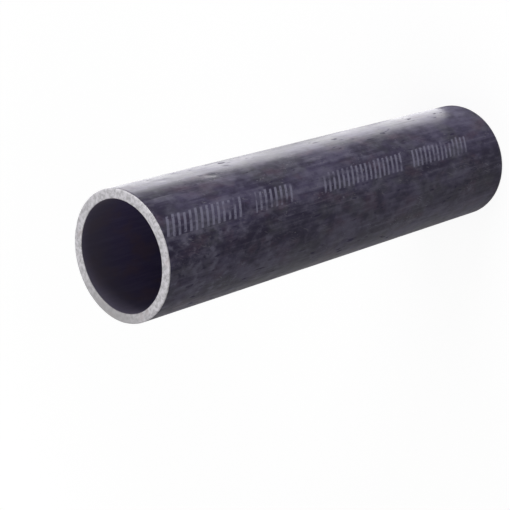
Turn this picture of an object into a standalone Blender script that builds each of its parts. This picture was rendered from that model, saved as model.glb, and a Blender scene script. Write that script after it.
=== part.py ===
"""Seamless steel pipe, nominal size DN 40, schedule 40, sawn square to a short length.

The pipe is one solid: a billet pierced and rolled into a tube with no weld, then cut and deburred.
Units are metres and +Z is up. The pipe stands on one end, because it would roll on its side.
The origin is on the axis, in the plane of the end that it stands on.
"""

import math

import bpy

# The section, as the standard gives it for this nominal size and schedule.
OUTER_DIAMETER = 0.0483
WALL = 0.00368

# The length between the two sawn faces.
LENGTH = 0.200

# The saw's burr is filed off both rims of both ends, which leaves a narrow 45 degree corner.
OUTER_RIM_DEBURR = 0.0006
BORE_RIM_DEBURR = 0.0004

# Flat strips around the circle. A multiple of four puts a point on each horizontal axis.
STRIPS = 144

# Edges that turn more sharply than this are shaded as corners, and the rest as one round surface.
CORNER_ANGLE = math.radians(30)

OUTER_RADIUS = OUTER_DIAMETER / 2
BORE_RADIUS = OUTER_RADIUS - WALL


def clear_scene():
    for obj in list(bpy.data.objects):
        bpy.data.objects.remove(obj, do_unlink=True)


def new_collection(name):
    collection = bpy.data.collections.new(name)
    bpy.context.scene.collection.children.link(collection)
    return collection


def steel(name, colour, roughness, metallic):
    """A steel surface, as one Principled BSDF."""
    material = bpy.data.materials.new(name)
    material.use_nodes = True
    shader = material.node_tree.nodes["Principled BSDF"]
    shader.inputs["Base Color"].default_value = (*colour, 1.0)
    shader.inputs["Roughness"].default_value = roughness
    shader.inputs["Metallic"].default_value = metallic
    return material


def wall_section():
    """The wall cut along the axis, as (radius, height) corners.

    It starts at the top of the outer side, runs down it, crosses the foot and comes back up the bore.
    """
    return [
        (OUTER_RADIUS - OUTER_RIM_DEBURR, LENGTH),
        (OUTER_RADIUS, LENGTH - OUTER_RIM_DEBURR),
        (OUTER_RADIUS, OUTER_RIM_DEBURR),
        (OUTER_RADIUS - OUTER_RIM_DEBURR, 0.0),
        (BORE_RADIUS + BORE_RIM_DEBURR, 0.0),
        (BORE_RADIUS, BORE_RIM_DEBURR),
        (BORE_RADIUS, LENGTH - BORE_RIM_DEBURR),
        (BORE_RADIUS + BORE_RIM_DEBURR, LENGTH),
    ]


def turn(name, section, collection):
    """A closed section turned once around the Z axis into a ring-shaped solid."""
    points = [(radius, 0.0, height) for radius, height in section]
    edges = [(i, (i + 1) % len(points)) for i in range(len(points))]
    outline = bpy.data.meshes.new(name + "_section")
    outline.from_pydata(points, edges, [])
    obj = bpy.data.objects.new(name, outline)
    collection.objects.link(obj)

    screw = obj.modifiers.new("turn", "SCREW")
    screw.axis = "Z"
    screw.angle = 2 * math.pi
    screw.steps = STRIPS
    screw.render_steps = STRIPS
    screw.use_merge_vertices = True
    screw.merge_threshold = 0.00001

    graph = bpy.context.evaluated_depsgraph_get()
    turned = bpy.data.meshes.new_from_object(obj.evaluated_get(graph))
    turned.name = name
    obj.modifiers.clear()
    obj.data = turned
    bpy.data.meshes.remove(outline)
    turned.shade_smooth()
    turned.set_sharp_from_angle(angle=CORNER_ANGLE)
    return obj


def finish_pipe(pipe):
    """Dark lacquered mill skin inside and out, and bare steel where the saw and the file went."""
    skin = steel("lacquered_mill_skin", (0.040, 0.038, 0.048), roughness=0.42, metallic=0.0)
    cut = steel("sawn_steel", (0.50, 0.49, 0.51), roughness=0.45, metallic=0.6)
    pipe.data.materials.append(skin)
    pipe.data.materials.append(cut)
    skin_slot, cut_slot = 0, 1
    for face in pipe.data.polygons:
        faces_an_end = abs(face.normal.z) > math.cos(math.radians(60))
        face.material_index = cut_slot if faces_an_end else skin_slot


clear_scene()
pipe_collection = new_collection("seamless_steel_pipe")
finish_pipe(turn("pipe", wall_section(), pipe_collection))
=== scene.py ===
"""Looks of the seamless steel pipe: a black lacquered mill skin with a worn ink band, bare sawn ends
and a dark bore, on a pale sheet in soft light.
"""

import math

import bmesh
import bpy
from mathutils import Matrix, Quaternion, Vector, noise


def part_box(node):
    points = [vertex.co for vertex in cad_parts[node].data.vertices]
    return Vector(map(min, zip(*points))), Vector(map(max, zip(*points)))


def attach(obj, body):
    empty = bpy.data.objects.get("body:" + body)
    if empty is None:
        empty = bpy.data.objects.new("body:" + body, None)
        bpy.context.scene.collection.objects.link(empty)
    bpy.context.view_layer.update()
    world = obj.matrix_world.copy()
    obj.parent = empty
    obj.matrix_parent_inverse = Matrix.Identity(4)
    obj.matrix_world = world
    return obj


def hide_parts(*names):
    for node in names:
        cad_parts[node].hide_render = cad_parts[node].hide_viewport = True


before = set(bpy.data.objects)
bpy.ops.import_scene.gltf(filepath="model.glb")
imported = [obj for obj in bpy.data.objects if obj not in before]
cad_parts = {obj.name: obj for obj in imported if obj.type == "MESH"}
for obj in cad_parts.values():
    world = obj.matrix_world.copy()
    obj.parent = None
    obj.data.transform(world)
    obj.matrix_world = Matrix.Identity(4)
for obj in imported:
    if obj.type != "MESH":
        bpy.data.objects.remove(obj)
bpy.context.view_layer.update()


# The camera: a long lens a little over half a metre from the pipe, looking down at its upper mouth.
# It is rolled on its side, so that the standing pipe runs across the picture, mouth to the left.
CAMERA_DISTANCE = 0.600
CAMERA_AZIMUTH = math.radians(-11.06)
CAMERA_ELEVATION = math.radians(44.98)
CAMERA_ROLL = math.radians(-107.42)
CAMERA_AIM = Vector((-0.00963, 0.02029, 0.11872))
PICTURE_WIDTH_PX = 510
FOCAL_LENGTH_PX = 1530.8
SENSOR_WIDTH_MM = 36.0
NEAREST_SEEN, FARTHEST_SEEN = 0.01, 20.0

towards_camera = Vector((
    math.sin(CAMERA_AZIMUTH) * math.cos(CAMERA_ELEVATION),
    -math.cos(CAMERA_AZIMUTH) * math.cos(CAMERA_ELEVATION),
    math.sin(CAMERA_ELEVATION),
))
camera = bpy.data.objects.new("camera", bpy.data.cameras.new("camera"))
camera.data.sensor_width = SENSOR_WIDTH_MM
camera.data.lens = FOCAL_LENGTH_PX / PICTURE_WIDTH_PX * SENSOR_WIDTH_MM
camera.data.clip_start = NEAREST_SEEN
camera.data.clip_end = FARTHEST_SEEN
camera.rotation_mode = "QUATERNION"
camera.location = CAMERA_AIM + towards_camera * CAMERA_DISTANCE
camera.rotation_quaternion = towards_camera.to_track_quat("Z", "Y") @ Quaternion((0, 0, 1), CAMERA_ROLL)
bpy.context.scene.collection.objects.link(camera)
bpy.context.scene.camera = camera
bpy.context.scene.view_settings.view_transform = "Standard"


# The pipe: one tube, pierced and rolled hot from a solid billet, then cut to length with a band saw.
# The wall is turned as one closed section round the axis, and the mill's and the saw's marks are
# then worked into it. The saw's burr is filed off by hand, so the narrow corners vary a little.
foot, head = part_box("pipe")
LENGTH = head.z - foot.z
OUTER_RADIUS = head.x
BORE_RADIUS = min(corner.co.xy.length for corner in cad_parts["pipe"].data.vertices)
WALL = OUTER_RADIUS - BORE_RADIUS
OUTER_RIM_DEBURR = 0.0006
BORE_RIM_DEBURR = 0.0004
RIM_STEPS = 3
STRIPS_ROUND = 320
OUTER_STRIPS_ALONG = 170
BORE_STRIPS_ALONG = 60
STRIPS_ACROSS_END = 14
SEAM_CLOSED_WITHIN = 1e-6

section = bmesh.new()
corners = [
    section.verts.new((OUTER_RADIUS, 0, LENGTH)),
    section.verts.new((OUTER_RADIUS, 0, 0)),
    section.verts.new((BORE_RADIUS, 0, 0)),
    section.verts.new((BORE_RADIUS, 0, LENGTH)),
]
section.faces.new(corners)
for rim, deburr in ((corners[:2], OUTER_RIM_DEBURR), (corners[2:], BORE_RIM_DEBURR)):
    bmesh.ops.bevel(
        section, geom=rim, offset=deburr, offset_type="OFFSET", affect="VERTICES",
        segments=RIM_STEPS, profile=0.5, material=-1,
    )
bmesh.ops.delete(section, geom=section.faces[:], context="FACES_ONLY")

long_sides = [edge for edge in section.edges if edge.calc_length() > LENGTH / 2]
outer_side = max(long_sides, key=lambda edge: edge.verts[0].co.x)
bore_side = min(long_sides, key=lambda edge: edge.verts[0].co.x)
end_sides = [edge for edge in section.edges if WALL / 2 < edge.calc_length() < WALL]
for sides, strips in (
    ([outer_side], OUTER_STRIPS_ALONG), ([bore_side], BORE_STRIPS_ALONG), (end_sides, STRIPS_ACROSS_END),
):
    bmesh.ops.subdivide_edges(section, edges=sides, cuts=strips - 1)
bmesh.ops.spin(
    section, geom=section.edges[:], cent=(0, 0, 0), axis=(0, 0, 1), angle=2 * math.pi,
    steps=STRIPS_ROUND, use_merge=True, use_duplicate=False,
)
bmesh.ops.remove_doubles(section, verts=section.verts[:], dist=SEAM_CLOSED_WITHIN)
bmesh.ops.recalc_face_normals(section, faces=section.faces[:])

# The file has bared the narrow corners too, so all their steps count as part of the ends.
OUTSIDE, END, BORE = 0, 1, 2
LEAST_LEAN_OF_END = 0.25
MIDDLE_RADIUS = (OUTER_RADIUS + BORE_RADIUS) / 2
for face in section.faces:
    if abs(face.normal.z) > LEAST_LEAN_OF_END:
        face.material_index = END
    elif face.calc_center_median().xy.length > MIDDLE_RADIUS:
        face.material_index = OUTSIDE
    else:
        face.material_index = BORE
    face.smooth = True

# What the rolls leave outside is a slow swell, a lengthwise ripple and a few shallow nicks. The
# mandrel leaves deeper ridges in the bore that wind along it. All of it lies within nominal size.
SWELL_DEPTH, SWELL_WIDTH, SWELL_LENGTH = 0.00009, 0.026, 0.080
RIPPLE_DEPTH, RIPPLE_WIDTH, RIPPLE_LENGTH = 0.00005, 0.0055, 0.060
NICK_DEPTH, NICK_WIDTH, NICK_LENGTH, NICK_RARITY = 0.0012, 0.006, 0.010, 0.30
MANDREL_DEPTH, MANDREL_RIDGES, MANDREL_TWIST_PER_M = 0.00014, 9, 60
RIDGES_FADE_ACROSS, RIDGES_FADE_ALONG = 0.026, 0.050

# The saw leaves shallow straight scores across both ends, and the file an uneven corner.
SAW_DEPTH, SAW_SCORE_WIDTH, SAW_SCORE_LENGTH = 0.00005, 0.0014, 0.030
SAW_ANGLE = math.radians(25)
SAW_REACH = 0.0012
FILE_DEPTH, FILE_STROKE, FILE_KEEPS_TO_RIM = 0.00014, 0.006, 4


def wear(place, width, length):
    """Smooth random depth from -1 to 1 in patches of that size, round the pipe and along it."""
    return noise.noise(Vector((place.x / width, place.y / width, place.z / length)))


def outside_depth(place):
    swell = 0.5 + 0.5 * wear(place, SWELL_WIDTH, SWELL_LENGTH)
    ripple = 0.5 + 0.5 * wear(place, RIPPLE_WIDTH, RIPPLE_LENGTH)
    nick = max(0.0, wear(place, NICK_WIDTH, NICK_LENGTH) - NICK_RARITY) ** 2
    return SWELL_DEPTH * swell + RIPPLE_DEPTH * ripple + NICK_DEPTH * nick


def bore_depth(place):
    turn = math.atan2(place.y, place.x) * MANDREL_RIDGES + place.z * MANDREL_TWIST_PER_M
    strength = 0.5 + 0.5 * wear(place, RIDGES_FADE_ACROSS, RIDGES_FADE_ALONG)
    return MANDREL_DEPTH * (0.5 + 0.5 * math.sin(turn)) * strength


def saw_depth(place):
    across = place.x * math.cos(SAW_ANGLE) + place.y * math.sin(SAW_ANGLE)
    along = place.y * math.cos(SAW_ANGLE) - place.x * math.sin(SAW_ANGLE)
    return 0.5 + 0.5 * wear(Vector((across, place.z, along)), SAW_SCORE_WIDTH, SAW_SCORE_LENGTH)


for point in section.verts:
    place = point.co.copy()
    outward = Vector((place.x, place.y, 0)).normalized()
    depth_in_wall = (place.xy.length - BORE_RADIUS) / WALL
    inward_shift = outside_depth(place) * depth_in_wall - bore_depth(place) * (1 - depth_in_wall)
    near_end = max(0.0, 1 - min(place.z, LENGTH - place.z) / SAW_REACH)
    near_rim = abs(2 * depth_in_wall - 1) ** FILE_KEEPS_TO_RIM
    filed = FILE_DEPTH * (0.5 + 0.5 * wear(place, FILE_STROKE, FILE_STROKE)) * near_rim
    into_pipe = -1 if place.z > LENGTH / 2 else 1
    point.co -= outward * inward_shift
    point.co.z += into_pipe * near_end * (SAW_DEPTH * saw_depth(place) + filed)

SHARP_EDGE = math.radians(35)
pipe_mesh = bpy.data.meshes.new("finished_pipe")
section.to_mesh(pipe_mesh)
section.free()
pipe_mesh.set_sharp_from_angle(angle=SHARP_EDGE)
pipe = bpy.data.objects.new("finished_pipe", pipe_mesh)
bpy.context.scene.collection.objects.link(pipe)
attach(pipe, "root")
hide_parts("pipe")


class Wire:
    """One socket of a material's nodes. Arithmetic on it adds the Math nodes that work it out."""

    def __init__(self, tree, socket=None):
        self.tree = tree
        self.socket = socket

    def node(self, kind, settings, values, output=0):
        """Adds a node, makes its settings, then fills or links its sockets, and wraps one output."""
        made = self.tree.nodes.new("ShaderNode" + kind)
        for name, setting in settings.items():
            setattr(made, name, setting)
        for key, value in values.items():
            if isinstance(value, Wire):
                self.tree.links.new(value.socket, made.inputs[key])
            else:
                made.inputs[key].default_value = value
        return Wire(self.tree, made.outputs[output])

    def output(self, name):
        """Another output of the node that this one comes from."""
        return Wire(self.tree, self.socket.node.outputs[name])

    def sum(self, operation, first, second=0.0):
        """One Math node. Operations on a single number leave the second one unused."""
        return self.node("Math", {"operation": operation}, {0: first, 1: second})

    def __add__(self, other):
        return self.sum("ADD", self, other)

    __radd__ = __add__

    def __mul__(self, other):
        return self.sum("MULTIPLY", self, other)

    __rmul__ = __mul__

    def __sub__(self, other):
        return self.sum("SUBTRACT", self, other)

    def __rsub__(self, other):
        return self.sum("SUBTRACT", other, self)

    def rise(self, low, high):
        """0 below low and 1 above high, and the other way round where low is the higher."""
        return self.node("MapRange", {"interpolation_type": "SMOOTHSTEP"}, {
            "Value": self, "From Min": low, "From Max": high, "To Min": 0.0, "To Max": 1.0})

    def grain(self, width_mm, length_mm, seed, detail=2.0, lean=(0, 0, 0), roughness=0.55):
        """Soft random grain on these coordinates, of that size round the pipe and along it, 0 to 1."""
        stretched = self.node("Mapping", {"vector_type": "TEXTURE"}, {
            "Vector": self, "Rotation": lean,
            "Scale": (width_mm / 1000, width_mm / 1000, length_mm / 1000)})
        return self.node("TexNoise", {"noise_dimensions": "4D"}, {
            "Vector": stretched, "W": seed, "Scale": 1.0, "Detail": detail, "Roughness": roughness})

    def tint(self, under, over):
        """A colour that goes from one to the other as this mask goes from 0 to 1."""
        return self.node("Mix", {"data_type": "RGBA"}, {0: self, 6: under, 7: over}, output=2)

    def relief(self, depth, strength):
        """A Bump node that reads this height, for a shader's Normal."""
        return self.node("Bump", {}, {"Strength": strength, "Distance": depth, "Height": self})


def finish(name):
    """A new material, its Principled BSDF's sockets, and a Wire on its Object coordinates."""
    material = bpy.data.materials.new(name)
    material.use_nodes = True
    tree = material.node_tree
    place = Wire(tree).node("TexCoord", {}, {}, output="Object")
    return material, tree.nodes["Principled BSDF"].inputs, place


def apply(inputs, values):
    """Sets or links a Principled BSDF's sockets, by name."""
    for name, value in values.items():
        if isinstance(value, Wire):
            value.tree.links.new(value.socket, inputs[name])
        else:
            inputs[name].default_value = value


def height_and_end_distance(place):
    """The split coordinates, X first, and the distance to the nearer sawn end in mm."""
    apart = place.node("SeparateXYZ", {}, {0: place})
    above_foot = apart.output("Z")
    return apart, place.sum("MINIMUM", above_foot, LENGTH - above_foot) * 1000


# The skin outside: blue-black mill scale under a thin black lacquer, which dries violet-grey. The
# rolls and rough handling leave lengthwise streaks, rubbed patches, dark pits and pale scuffs.
LACQUER = (0.060, 0.050, 0.101, 1)
LACQUER_THICK = (0.021, 0.016, 0.041, 1)
LACQUER_RUBBED = (0.143, 0.134, 0.193, 1)
LACQUER_OLIVE = (0.062, 0.064, 0.070, 1)
LACQUER_MAROON = (0.080, 0.046, 0.076, 1)
LACQUER_GLOSS = (0.85, 0.80, 1.0, 1)
SCUFF = (0.26, 0.25, 0.29, 1)
BARE_EDGE = (0.42, 0.41, 0.43, 1)
SKIN_ROUGHNESS = 0.285
SKIN_RELIEF = 0.00008

skin, skin_inputs, place = finish("lacquered_mill_skin")
patch = place.grain(15, 38, 1, detail=3.0)
streak = place.grain(1.5, 36, 2, detail=3.0)
hair_streak = place.grain(0.55, 14, 3)
mottle = place.grain(2.4, 4.2, 4, detail=3.0)
blotch = place.grain(4.5, 8, 5, detail=3.0)
rub = place.grain(6, 12, 6, detail=5.0)
scrape_up = place.grain(0.5, 8, 7, detail=1.0, lean=(0.25, 0.35, 0))
scrape_down = place.grain(0.6, 7, 8, detail=1.0, lean=(-0.5, 0.2, 0))
green_patch = place.grain(9, 16, 9, detail=3.0)
red_patch = place.grain(8, 15, 10, detail=3.0)
cloud = place.grain(3.2, 4.6, 14, detail=5.0)
pit = place.grain(1.5, 6.0, 15, detail=1.0).rise(0.62, 0.69)
pit = pit * place.grain(7, 15, 16, detail=2.0).rise(0.47, 0.60)

# Handling clouds the whole skin a little, and most at the upper end on the side that faces -X.
HANDLED_ALL_OVER, HANDLED_ONE_SIDE, HANDLED_UPPER_END = 0.22, 0.2, 0.55
LITTLE_HANDLED_MM, WELL_HANDLED_MM = 75, 20
OTHER_SIDE_MM, HANDLED_SIDE_MM = 3, -9

apart, to_end_mm = height_and_end_distance(place)
from_mouth_mm = (LENGTH - apart.output("Z")) * 1000
handled = from_mouth_mm.rise(LITTLE_HANDLED_MM, WELL_HANDLED_MM) * HANDLED_UPPER_END + HANDLED_ONE_SIDE
handled = handled * (apart * 1000).rise(OTHER_SIDE_MM, HANDLED_SIDE_MM) + HANDLED_ALL_OVER
scuffed = (
    scrape_up.rise(0.62, 0.72) * rub.rise(0.48, 0.60)
    + scrape_down.rise(0.64, 0.73) * rub.rise(0.50, 0.60)
    + hair_streak.rise(0.56, 0.76) * streak.rise(0.48, 0.66) * 0.7)

colour = patch.rise(0.40, 0.56).tint(LACQUER_THICK, LACQUER)
for share, over in (
    (patch.rise(0.50, 0.64) * 0.4, LACQUER_RUBBED),
    (green_patch.rise(0.48, 0.62) * 0.55, LACQUER_OLIVE),
    (red_patch.rise(0.52, 0.66) * 0.6, LACQUER_MAROON),
    (streak.rise(0.46, 0.72) * 0.45 + blotch.rise(0.50, 0.70) * 0.4, LACQUER_RUBBED),
    (streak.rise(0.48, 0.30) * 0.6, LACQUER_THICK),
    (blotch.rise(0.48, 0.32) * 0.7, LACQUER_THICK),
    (mottle.rise(0.48, 0.78) * 0.4, LACQUER_RUBBED),
    (mottle.rise(0.52, 0.20) * 0.55, LACQUER_THICK),
    (cloud.rise(0.50, 0.68) * handled, LACQUER_RUBBED),
    (cloud.rise(0.48, 0.34) * handled, LACQUER_THICK),
    (scuffed * 0.45, SCUFF),
    (pit * 0.75, LACQUER_THICK),
):
    colour = share.tint(colour, over)

# The mark is a band of slanted ink strokes down one side, in four groups, stamped by a worn roller.
INK = (0.205, 0.198, 0.275, 1)
INK_OPACITY = 0.85
BAND_HEIGHT_MM = 8.0
BAND_RAGGED_MM = 0.6
STROKE_PITCH_MM = 2.75
STROKE_HALF_WIDTH, SOFT_OUTWARD, SOFT_INWARD = 0.21, 0.07, 0.05
STROKE_LEAN = 0.45
BLEED_MM = 0.25
GROUPS_MM = ((3, 42), (48, 68), (85, 134), (141, 178))

round_the_wall = place.sum("ARCTAN2", apart, apart.output("Y") * -1)
off_centre_mm = round_the_wall * (OUTER_RADIUS * 1000)
leaning_mm = from_mouth_mm - off_centre_mm * STROKE_LEAN
stroke_count = leaning_mm * (1 / STROKE_PITCH_MM)
stroke_luck = place.node(
    "TexWhiteNoise", {"noise_dimensions": "1D"}, {"W": place.sum("FLOOR", stroke_count)})
half_height_mm = stroke_luck * BAND_RAGGED_MM + (BAND_HEIGHT_MM / 2 - BAND_RAGGED_MM)
from_stroke = place.sum("ABSOLUTE", place.sum("FRACT", stroke_count) - 0.5)
stroke = from_stroke.rise(STROKE_HALF_WIDTH + SOFT_OUTWARD, STROKE_HALF_WIDTH - SOFT_INWARD)
in_band = (half_height_mm - place.sum("ABSOLUTE", off_centre_mm)).rise(-BLEED_MM, BLEED_MM)
in_group = 0.0
for first_mm, last_mm in GROUPS_MM:
    begun = leaning_mm.rise(first_mm - BLEED_MM, first_mm + BLEED_MM)
    in_group = in_group + begun * leaning_mm.rise(last_mm + BLEED_MM, last_mm - BLEED_MM)
ink_left = place.grain(0.8, 1.1, 11, detail=3.0).rise(0.28, 0.46)
ink_left = ink_left * place.grain(6, 9, 12).rise(0.30, 0.52)
ink = stroke * in_band * in_group * ink_left
colour = (ink * INK_OPACITY).tint(colour, INK)

# The saw and the file chip the lacquer back to bare steel in places along both rims.
CHIPS_END_MM, CHIPS_BEGIN_MM = 1.1, 0.35
chipped = to_end_mm.rise(CHIPS_END_MM, CHIPS_BEGIN_MM)
chipped = chipped * place.grain(1.0, 1.0, 13, detail=3.0).rise(0.50, 0.60)
colour = chipped.tint(colour, BARE_EDGE)

skin_height = streak * 0.7 + hair_streak * 0.2 + mottle * 0.7 + blotch * 0.8 - scuffed * 0.2 + ink * 0.1
skin_roughness = (
    SKIN_ROUGHNESS + patch.rise(0.40, 0.70) * 0.05 + blotch.rise(0.48, 0.68) * 0.08
    + mottle.rise(0.50, 0.72) * 0.05 + pit * 0.35 + scuffed * 0.10 + ink * 0.12)
apply(skin_inputs, {
    "Base Color": colour, "Roughness": skin_roughness, "Metallic": chipped * 0.6,
    "Specular IOR Level": 0.42, "Specular Tint": LACQUER_GLOSS,
    "Normal": skin_height.relief(SKIN_RELIEF, strength=0.5)})


# The sawn ends: bare steel, grey and matt from the saw's teeth, with straight scores across them and
# a trace of rust where they have stood damp. One side of the upper end is darker, which is painted
# shade.
SAWN = (0.685, 0.665, 0.705, 1)
SAWN_DULL = (0.42, 0.41, 0.43, 1)
SAWN_BRIGHT = (0.72, 0.71, 0.73, 1)
SAWN_RUSTY = (0.48, 0.40, 0.40, 1)
# The grey of a painted shade on one side of the upper end, and below it, that shade's centre and reach.
SAWN_PAINTED_SHADE = (0.36, 0.35, 0.355, 1)
SCORE_SIZE = (0.00035, 0.012, 0.01)
PAINTED_SHADE_AT = (-0.0150, 0.0170, LENGTH)
PAINTED_SHADE_EDGE, PAINTED_SHADE_HEART = 0.024, 0.004
SAWN_RELIEF = 0.00005

cut, cut_inputs, place = finish("sawn_steel")
along_saw = place.node("Mapping", {}, {"Vector": place, "Rotation": (0, 0, -SAW_ANGLE)})
drawn_out = place.node("Mapping", {"vector_type": "TEXTURE"}, {"Vector": along_saw, "Scale": SCORE_SIZE})
score = place.node("TexNoise", {}, {"Vector": drawn_out, "Scale": 1.0, "Detail": 3.0})
blemish = place.grain(1.6, 1.6, 1, detail=4.0)
damp = place.grain(7, 7, 2, detail=4.0)
painted_shade = place.node("VectorMath", {"operation": "DISTANCE"}, {0: place, 1: PAINTED_SHADE_AT}, output="Value")
colour = blemish.rise(0.35, 0.62).tint(SAWN_DULL, SAWN)
colour = (score.rise(0.5, 0.72) * 0.6).tint(colour, SAWN_BRIGHT)
colour = (damp.rise(0.56, 0.70) * 0.5).tint(colour, SAWN_RUSTY)
# Painted shade: one side of the upper end's ring goes darker towards a point beside it.
colour = (painted_shade.rise(PAINTED_SHADE_EDGE, PAINTED_SHADE_HEART) * 0.75).tint(colour, SAWN_PAINTED_SHADE)
cut_height = score * 0.7 + blemish * 0.5
apply(cut_inputs, {
    "Base Color": colour, "Roughness": 0.52 + blemish * 0.2, "Metallic": 0.25,
    "Normal": cut_height.relief(SAWN_RELIEF, strength=0.4)})


# The bore: the same scale and lacquer, run thin and rough over the mandrel's ridges, with a brown
# bloom of rust in places and a coat of grey dust that has settled near both ends.
BORE_DARK = (0.083, 0.066, 0.152, 1)
BORE_PALE = (0.112, 0.092, 0.182, 1)
BORE_RUST = (0.120, 0.082, 0.124, 1)
BORE_DUSTY = (0.080, 0.072, 0.094, 1)
CLEAN_FROM_MM, DUSTY_TO_MM = 22, 4
BORE_RELIEF = 0.00010

bore, bore_inputs, place = finish("bore_skin")
bore_streak = place.grain(1.4, 20, 1, detail=3.0)
bore_patch = place.grain(9, 14, 2, detail=4.0)
bore_pits = place.grain(0.9, 1.5, 3)
apart, to_end_mm = height_and_end_distance(place)
colour = bore_streak.rise(0.4, 0.7).tint(BORE_DARK, BORE_PALE)
colour = (bore_patch.rise(0.48, 0.66) * 0.7).tint(colour, BORE_RUST)
colour = (to_end_mm.rise(CLEAN_FROM_MM, DUSTY_TO_MM) * 0.7).tint(colour, BORE_DUSTY)
bore_height = bore_streak + bore_pits * 0.5
apply(bore_inputs, {
    "Base Color": colour, "Roughness": 0.5 + bore_patch * 0.2,
    "Normal": bore_height.relief(BORE_RELIEF, strength=0.5)})

for material in (skin, cut, bore):
    pipe_mesh.materials.append(material)


# The floor: a wide white sheet that takes the pipe's shadow. To the camera it glows nearly white by
# itself, and a little more so further off, where the lamps' light runs out.
FLOOR_SIZE = 12.0
FLOOR_GREY = (0.40, 0.40, 0.40, 1)
FLOOR_GREY_TO_CAMERA = (0.22, 0.22, 0.22, 1)
BLACK, WHITE = (0, 0, 0, 1), (1, 1, 1, 1)
GLOW_NEAR_PIPE, GLOW_FAR_OFF, GLOW_TO_GLOSS = 0.86, 0.97, 0.08
NEAR_PIPE, FAR_OFF = 0.20, 0.80

floor_shape = bmesh.new()
bmesh.ops.create_grid(floor_shape, x_segments=1, y_segments=1, size=FLOOR_SIZE / 2)
floor_mesh = bpy.data.meshes.new("floor")
floor_shape.to_mesh(floor_mesh)
floor_shape.free()
floor = bpy.data.objects.new("floor", floor_mesh)
bpy.context.scene.collection.objects.link(floor)

paper, paper_inputs, place = finish("pale_sheet")
seen_by = place.node("LightPath", {}, {}, output="Is Camera Ray")
in_gloss = seen_by.output("Is Glossy Ray") + seen_by.output("Is Transmission Ray")
away = place.node("VectorMath", {"operation": "LENGTH"}, {0: place}, output="Value")
glow_seen = away.rise(NEAR_PIPE, FAR_OFF) * (GLOW_FAR_OFF - GLOW_NEAR_PIPE) + GLOW_NEAR_PIPE
glow = seen_by * glow_seen + in_gloss * GLOW_TO_GLOSS
apply(paper_inputs, {
    "Base Color": seen_by.tint(FLOOR_GREY, FLOOR_GREY_TO_CAMERA), "Roughness": 0.9,
    "Specular IOR Level": 0.0, "Emission Color": glow.tint(BLACK, WHITE), "Emission Strength": 1.0})
floor_mesh.materials.append(paper)


# The light: a soft box over the pipe, one to the side, and flat panels that lie on the sheet behind
# it, which the lacquer's gloss picks up along that side. The camera doesn't see any of them.
PANEL_TURN = math.radians(7.7)
PANEL_LIFT = 0.002
UP = Vector((0, 0, 1))


def softbox(name, centre, aim, width, height, radiance, turn=0.0):
    """A soft area lamp of that size and brightness, which the camera doesn't see."""
    lamp = bpy.data.lights.new(name, "AREA")
    lamp.shape = "RECTANGLE"
    lamp.size = width
    lamp.size_y = height
    lamp.energy = radiance * math.pi * width * height
    box = bpy.data.objects.new(name, lamp)
    box.location = centre
    box.rotation_mode = "QUATERNION"
    facing = (Vector(centre) - Vector(aim)).to_track_quat("Z", "Y")
    box.rotation_quaternion = facing @ Quaternion(UP, turn)
    box.visible_camera = False
    bpy.context.scene.collection.objects.link(box)


softbox("overhead_box", (-0.17, -0.04, 1.00), (0.0, 0.0, 0.2), 0.80, 0.80, 1.9)
softbox("side_box", (0.825, -0.57, 0.21), (0, 0, 0.12), 0.75, 0.42, 7.5)
for name, along, across, length, width, radiance in (
    ("far_near_panel", 0.1950, 0.0200, 0.150, 0.095, 2.85),
    ("far_back_panel", 0.1450, 0.1300, 0.050, 0.125, 1.85),
    ("far_corner_panel", 0.2200, 0.1300, 0.100, 0.125, 2.80),
    ("middle_near_panel", 0.0900, 0.0020, 0.060, 0.059, 2.30),
    ("middle_back_panel", 0.0900, 0.0640, 0.060, 0.065, 0.88),
    ("foot_near_panel", 0.0424, -0.0070, 0.0352, 0.037, 2.25),
    ("foot_back_panel", 0.0424, 0.0260, 0.0352, 0.029, 0.80),
):
    where = Quaternion(UP, PANEL_TURN) @ Vector((along, across, PANEL_LIFT))
    softbox(name, where, where + UP, length, width, radiance, turn=-PANEL_TURN)

# The room round it lights the pipe weakly, and shows white to the camera and in gloss.
ROOM_LIGHT = 0.22
studio = bpy.data.worlds.new("studio")
studio.use_nodes = True
room_seen_by = Wire(studio.node_tree).node("LightPath", {}, {}, output="Is Camera Ray")
shows_white = room_seen_by + room_seen_by.output("Is Glossy Ray")
shows_white = shows_white + room_seen_by.output("Is Transmission Ray")
room = shows_white * (1 - ROOM_LIGHT) + ROOM_LIGHT
backdrop = studio.node_tree.nodes["Background"].inputs
apply(backdrop, {"Color": WHITE, "Strength": room})
bpy.context.scene.world = studio
